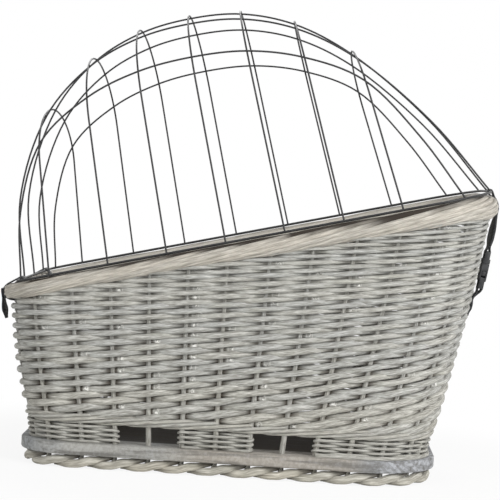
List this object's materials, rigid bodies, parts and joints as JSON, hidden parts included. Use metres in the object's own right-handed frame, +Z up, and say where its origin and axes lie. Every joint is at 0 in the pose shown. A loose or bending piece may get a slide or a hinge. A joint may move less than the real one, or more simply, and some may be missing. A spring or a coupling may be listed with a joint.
{
  "type": "bicycle pet basket",
  "caption": "Flared wicker basket with a rim climbing to one end, a wooden base with strap slots, and a hinged wire dome cage closed by a strap and buckle.",
  "frame": {"origin": "on the ground under the middle of the length and width", "axes": "+X from the low end to the high end, +Y across to the far long side, +Z up"},
  "size_m": [0.5338, 0.326, 0.506],
  "materials": {
    "wall_willow": "grey-washed woven willow rods",
    "border_willow": "pale grey-washed willow rods",
    "washed_board": "grey-washed board with visible grain",
    "black_wire": "black coated wire, half gloss",
    "black_webbing": "black woven webbing",
    "black_plastic": "black moulded plastic"
  },
  "bodies": {
    "basket": {"base_board": "washed_board", "foot_border": "border_willow", "stake_near_1": "wall_willow", "stake_near_2": "wall_willow", "stake_near_3": "wall_willow", "stake_near_4": "wall_willow", "stake_near_5": "wall_willow", "stake_near_6": "wall_willow", "stake_far_1": "wall_willow", "stake_far_2": "wall_willow", "stake_far_3": "wall_willow", "stake_far_4": "wall_willow", "stake_far_5": "wall_willow", "stake_far_6": "wall_willow", "lower_weave_near_middle": "wall_willow", "lower_weave_high_end": "wall_willow", "lower_weave_far_middle": "wall_willow", "lower_weave_low_end": "wall_willow", "wale_outer": "border_willow", "wale_inner": "border_willow", "side_weave": "wall_willow", "rim_border": "border_willow", "hinge_strap_near": "black_webbing", "hinge_strap_far": "black_webbing", "closure_strap_lower": "black_webbing", "buckle_female": "black_plastic"},
    "cage": {"ring_wire": "black_wire", "cage_rib_1": "black_wire", "cage_rib_2": "black_wire", "cage_rib_3": "black_wire", "cage_rib_4": "black_wire", "cage_rib_5": "black_wire", "cage_rib_6": "black_wire", "cage_rib_7": "black_wire", "cage_wire_near_lower": "black_wire", "cage_wire_near_upper": "black_wire", "cage_wire_centre": "black_wire", "cage_wire_far_upper": "black_wire", "cage_wire_far_lower": "black_wire"},
    "closure_strap": {"closure_strap_upper": "black_webbing", "buckle_male": "black_plastic"},
    "arm_near": {"buckle_arm_near": "black_plastic"},
    "arm_far": {"buckle_arm_far": "black_plastic"}
  },
  "joints": [
    {"name": "cage_hinge", "type": "hinge", "parent": "basket", "child": "cage", "pos_m": [-0.24736, 0, 0.19685], "axis": [0, -1, 0], "range_deg": [0, 90]},
    {"name": "strap_swing", "type": "hinge", "parent": "cage", "child": "closure_strap", "pos_m": [0.25617, 0, 0.32053], "axis": [0, -1, 0], "range_deg": [0, 110]},
    {"name": "arm_near_press", "type": "slide", "parent": "closure_strap", "child": "arm_near", "axis": [0, 1, 0], "range_m": [0, 0.003], "stiffness_N_per_m": 1000},
    {"name": "arm_far_press", "type": "slide", "parent": "closure_strap", "child": "arm_far", "axis": [0, -1, 0], "range_m": [0, 0.003], "stiffness_N_per_m": 1000}
  ]
}
